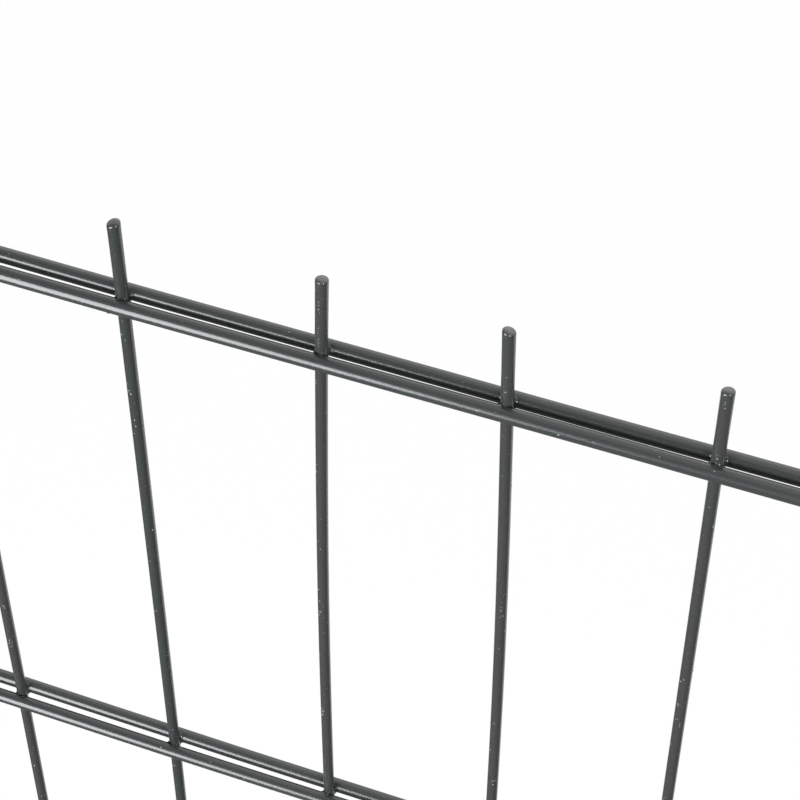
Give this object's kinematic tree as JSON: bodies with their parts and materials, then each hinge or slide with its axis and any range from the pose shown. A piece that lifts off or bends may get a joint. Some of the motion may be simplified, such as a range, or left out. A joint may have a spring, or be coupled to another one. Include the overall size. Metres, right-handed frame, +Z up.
{
  "type": "welded mesh fence panel",
  "caption": "Flat fence panel of thin upright wires welded between front and back row wires, open in tall narrow meshes, with bare wire ends standing above the top row.",
  "frame": {"origin": "the middle of the sheared lower end of the middle upright, on the panel's lower edge", "axes": "+X along the panel to the right seen from the front, +Y through it from the front to the back, +Z up"},
  "size_m": [2.008, 0.0096, 1.03],
  "materials": {
    "powder_coat": "satin anthracite powder coat over galvanised wire"
  },
  "bodies": {
    "root": {"upright_01": "powder_coat", "upright_02": "powder_coat", "upright_03": "powder_coat", "upright_04": "powder_coat", "upright_05": "powder_coat", "upright_06": "powder_coat", "upright_07": "powder_coat", "upright_08": "powder_coat", "upright_09": "powder_coat", "upright_10": "powder_coat", "upright_11": "powder_coat", "upright_12": "powder_coat", "upright_13": "powder_coat", "upright_14": "powder_coat", "upright_15": "powder_coat", "upright_16": "powder_coat", "upright_17": "powder_coat", "upright_18": "powder_coat", "upright_19": "powder_coat", "upright_20": "powder_coat", "upright_21": "powder_coat", "upright_22": "powder_coat", "upright_23": "powder_coat", "upright_24": "powder_coat", "upright_25": "powder_coat", "upright_26": "powder_coat", "upright_27": "powder_coat", "upright_28": "powder_coat", "upright_29": "powder_coat", "upright_30": "powder_coat", "upright_31": "powder_coat", "upright_32": "powder_coat", "upright_33": "powder_coat", "upright_34": "powder_coat", "upright_35": "powder_coat", "upright_36": "powder_coat", "upright_37": "powder_coat", "upright_38": "powder_coat", "upright_39": "powder_coat", "upright_40": "powder_coat", "upright_41": "powder_coat", "row_1_front_wire": "powder_coat", "row_1_back_wire": "powder_coat", "row_2_front_wire": "powder_coat", "row_2_back_wire": "powder_coat", "row_3_front_wire": "powder_coat", "row_3_back_wire": "powder_coat", "row_4_front_wire": "powder_coat", "row_4_back_wire": "powder_coat", "row_5_front_wire": "powder_coat", "row_5_back_wire": "powder_coat", "row_6_front_wire": "powder_coat", "row_6_back_wire": "powder_coat"}
  },
  "joints": []
}
